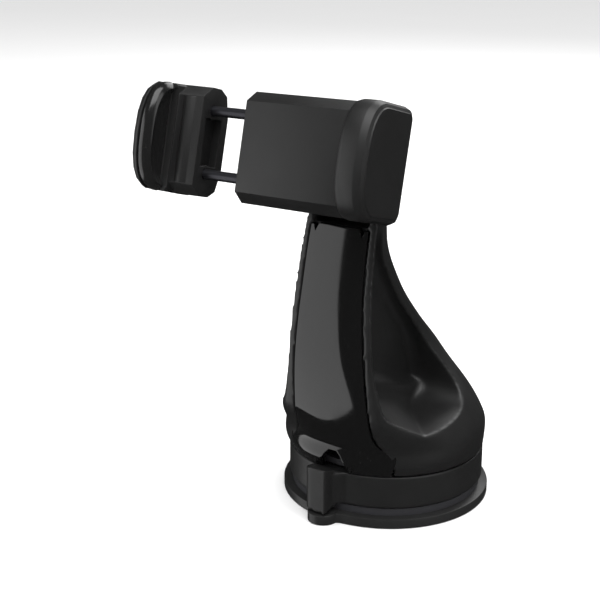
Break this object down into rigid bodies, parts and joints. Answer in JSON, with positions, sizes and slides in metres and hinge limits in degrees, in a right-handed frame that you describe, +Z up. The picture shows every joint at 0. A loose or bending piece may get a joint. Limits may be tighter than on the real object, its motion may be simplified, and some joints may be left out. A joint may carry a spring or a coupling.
{
  "type": "phone mount",
  "caption": "Suction-base car phone mount with a tall curved arm, a tilt and swivel joint, and a clamp whose jaw slides on two rods.",
  "frame": {"origin": "centre of the gel pad's underside", "axes": "+Z up from the pad, the phone faces -Y, and the sliding jaw opens towards -X"},
  "size_m": [0.1064, 0.0979, 0.1505],
  "materials": {
    "gel": "soft sticky gel, slightly glossy",
    "matte_black": "fine moulded texture",
    "gloss_black": "polished piano black",
    "soft_lip": "smooth soft-touch",
    "slide_plastic": "smooth slide-grade",
    "dark_steel": "black oxide, polished",
    "steel": "turned",
    "spring_steel": "drawn wire"
  },
  "bodies": {
    "stand": {"gel_pad": "gel", "foot_plate": "matte_black", "foot_hub": "slide_plastic", "foot_screws": "steel", "plunger_spring": "spring_steel", "arm_frame": "matte_black", "front_cover": "gloss_black", "tilt_pin": "steel", "pin_caps": "matte_black"},
    "ring": {"twist_ring": "matte_black", "cam_ring": "slide_plastic"},
    "plunger": {"pad_centre": "gel", "plunger_stem": "slide_plastic", "cross_pin": "steel"},
    "knuckle": {"tilt_knuckle": "matte_black", "friction_washers": "steel", "swivel_washer": "steel", "swivel_screw": "steel"},
    "clamp": {"clamp_front": "matte_black", "clamp_rear": "matte_black", "clamp_screws": "steel", "rod_bushes": "slide_plastic", "fixed_jaw": "matte_black", "fixed_jaw_pad": "soft_lip", "clamp_springs": "spring_steel"},
    "slider": {"sliding_jaw": "matte_black", "sliding_jaw_pad": "soft_lip", "slide_rods": "dark_steel", "rod_nuts": "steel"}
  },
  "joints": [
    {"name": "ring_twist", "type": "hinge", "parent": "stand", "child": "ring", "pos_m": [0, 0, 0], "axis": [0, 0, 1], "range_deg": [0, 60]},
    {"name": "plunger_lift", "type": "slide", "parent": "stand", "child": "plunger", "axis": [0, 0, 1], "range_m": [-0.0025, 0], "deforming": ["plunger_spring"]},
    {"name": "head_tilt", "type": "hinge", "parent": "stand", "child": "knuckle", "pos_m": [0, -0.02366, 0.12569], "axis": [-1, 0, 0], "range_deg": [-2, 45]},
    {"name": "head_swivel", "type": "hinge", "parent": "knuckle", "child": "clamp", "pos_m": [0, -0.0469, 0.1317], "axis": [0, -0.9681, 0.2504], "continuous": true},
    {"name": "jaw_slide", "type": "slide", "parent": "clamp", "child": "slider", "axis": [-1, 0, 0], "range_m": [-0.0174, 0.008], "deforming": ["clamp_springs"]}
  ],
  "couplings": [
    {"joint": "plunger_lift", "follows": "ring_twist", "m_per_rad": -0.0023873}
  ]
}
